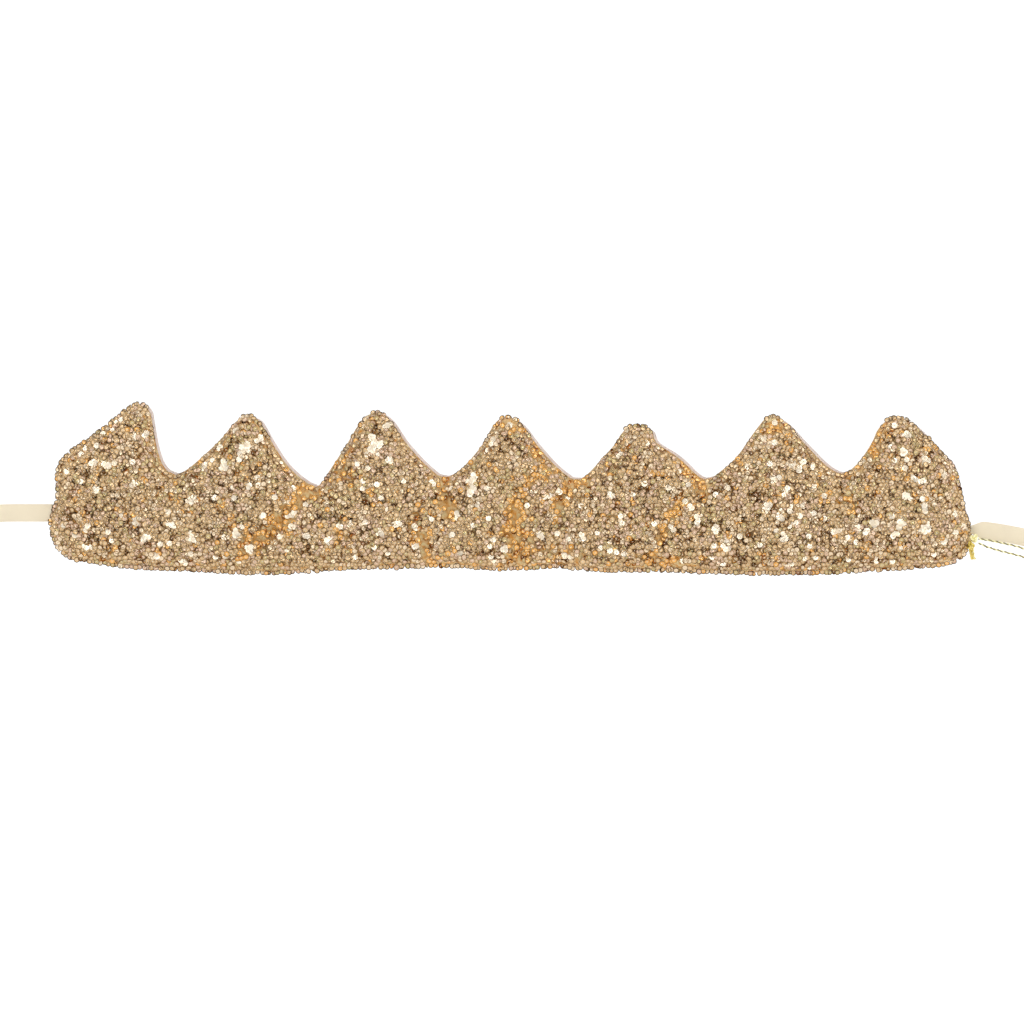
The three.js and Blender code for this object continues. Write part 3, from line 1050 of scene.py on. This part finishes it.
def make_lining():
    ring = tucked(layer_ring("lining"))
    flat, faces = flat_sheet(ring, LINING_STEP)
    depth = np.maximum(depth_in(flat, ring), 0)
    y = -0.12 * MM - 0.10 * MM * smooth_noise(flat, 0.03, 31) * np.clip(depth / (4 * MM), 0, 1)
    # the stitching draws the lining in along its line
    y -= 0.25 * MM * np.exp(-((depth - STITCH_INSET) / (0.8 * MM)) ** 2)
    back = np.stack([flat[:, 0], y, flat[:, 1]], axis=1)
    faces = facing(1, back, faces)
    segments = segment_of(faces, flat)
    for segment in SEGMENTS:
        own = segments == segment
        outer, used = part_of(back, faces, own)
        layout, _ = part_of(flat, faces, own)
        inner = outer - np.array((0, LINING_THICK, 0))
        made = make_shell(f"lining_cloth_{segment + 1}", outer, inner, used, LINING)
        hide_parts(f"lining_{segment + 1}", f"lining_{segment + 2}")
        bend(made, segment)
        width, length, area = cut_size(layout, outer, used)
    make_stitches(ring)


def make_stitches(ring):
    """A running stitch along the lining's edge, and a zigzag tack over each ribbon's end."""
    line = ring - outward_of(ring_along(ring)) * STITCH_INSET
    line = line[depth_in(line, ring) > 0.85 * STITCH_INSET]
    line = resampled(np.vstack([line, line[:1]]), STITCH_STEP)
    parts = defaultdict(list)
    for a, b in zip(line, line[1:]):
        middle, way = (a + b) / 2, unit(b - a)
        steps = np.linspace(-0.5, 0.5, 7)
        x = middle[0] + way[0] * steps * STITCH_LENGTH
        z = middle[1] + way[1] * steps * STITCH_LENGTH
        y = 0.28 * MM * (1 - (2 * steps) ** 4) - 0.3 * MM
        radius = 0.2 * MM * np.sqrt(1.02 - (2 * steps) ** 4)
        segment = int(np.searchsorted(CUTS, middle[0]))
        parts[segment].append(tube(np.stack([x, y, z], axis=1), radius, 6))
    for x, z in TACKS:
        steps = np.arange(TACK_TURNS)
        zigzag = np.stack([x + 0.7 * MM * np.where(steps % 2, 1.0, -1.0), np.full(TACK_TURNS, 0.12 * MM),
                           z + (steps / (TACK_TURNS - 1) - 0.5) * TACK_LENGTH], axis=1)
        parts[int(np.searchsorted(CUTS, x))].append(tube(zigzag, 0.16 * MM, 6))
    for segment, stitches in sorted(parts.items()):
        points, faces = joined(stitches)
        made = make_object(f"edge_stitches_{segment + 1}", points, faces, materials=[STITCHING])
        bend(made, segment)


# ---------------------------------------------------------------- build

GROUND_CLOTH = woven_material("foil_ground_cloth", (0.78, 0.31, 0.03), (1.0, 0.80, 0.42), 0.7 * MM, 0.25 * MM,
                              0.40, metallic=0.05, patch=560)
LINING = woven_material("lining_weave", (0.96, 0.79, 0.70), (1.0, 0.87, 0.79), 0.5 * MM, 0.11 * MM, 0.9,
                        sheen=0.1, wrinkles=3.5 * MM)
WADDING = woven_material("wadding_fluff", (0.85, 0.83, 0.78), (0.93, 0.91, 0.87), 2.0 * MM, 0.4 * MM, 1.0)
RIBBON = woven_material("ribbon_rib", (0.84, 0.735, 0.545), (0.89, 0.785, 0.585), 0.38 * MM, 0.03 * MM, 0.5,
                        sheen=0.1, use_uv=True)
TIE_TAPE = woven_material("tie_tape", (0.74, 0.66, 0.52), (0.82, 0.74, 0.60), 0.5 * MM, 0.06 * MM, 0.85)
THREADS = [
    thread_material("metallic_thread", (0.52, 0.38, 0.06), (0.98, 0.80, 0.26), 0.3, 0.7),
    # The shaded and pale threads are the gold thread with painted shade and a painted highlight.
    thread_material("metallic_thread_shaded", (0.12, 0.10, 0.04), (0.34, 0.29, 0.12), 0.4, 0.5),
    thread_material("metallic_thread_painted_highlight", (0.86, 0.78, 0.34), (1.0, 0.97, 0.66), 0.35, 0.3),
]
STITCHING = thread_material("sewing_thread", (0.80, 0.68, 0.56), (0.90, 0.80, 0.68), 0.7, 0.0)
SEQUIN_LOOKS = [
    metal_material("sequin_champagne", (0.53, 0.335, 0.15), (0.80, 0.56, 0.315), 0.25),
    metal_material("sequin_warm", (0.74, 0.36, 0.09), (0.92, 0.54, 0.20), 0.25),
    metal_material("sequin_rose", (0.59, 0.375, 0.24), (0.76, 0.54, 0.385), 0.25),
    metal_material("sequin_olive", (0.48, 0.35, 0.14), (0.66, 0.51, 0.26), 0.25),
    metal_material("sequin_light", (0.75, 0.545, 0.34), (0.91, 0.74, 0.525), 0.25),
    # A pale foil for the sequins turned to the flash: a painted highlight.
    metal_material("sequin_painted_highlight", (0.86, 0.70, 0.50), (0.98, 0.88, 0.72), 0.30),
    # Dark rim colours are painted shade on each sequin's outer band. The darkest is for sequins near the
    # outline.
    metal_material("sequin_rim_painted_shade", (0.28, 0.185, 0.092), (0.46, 0.315, 0.17), 0.35),
    metal_material("sequin_warm_rim_painted_shade", (0.44, 0.21, 0.05), (0.64, 0.35, 0.11), 0.35),
    metal_material("sequin_edge_rim_painted_shade", (0.06, 0.04, 0.022), (0.15, 0.10, 0.06), 0.4),
    thread_material("sequin_stitch", (0.80, 0.68, 0.48), (0.95, 0.86, 0.68), 0.5, 0.1),
]

make_camera()
make_stage()
make_ribbon("ribbon_left", LEFT_ROUTE, -1, "panel_1", pinch=0)
make_ribbon("ribbon_right", RIGHT_ROUTE, 1, "panel_7", pinch=7)
make_hang_thread()
make_sequins(*make_front())
make_lining()
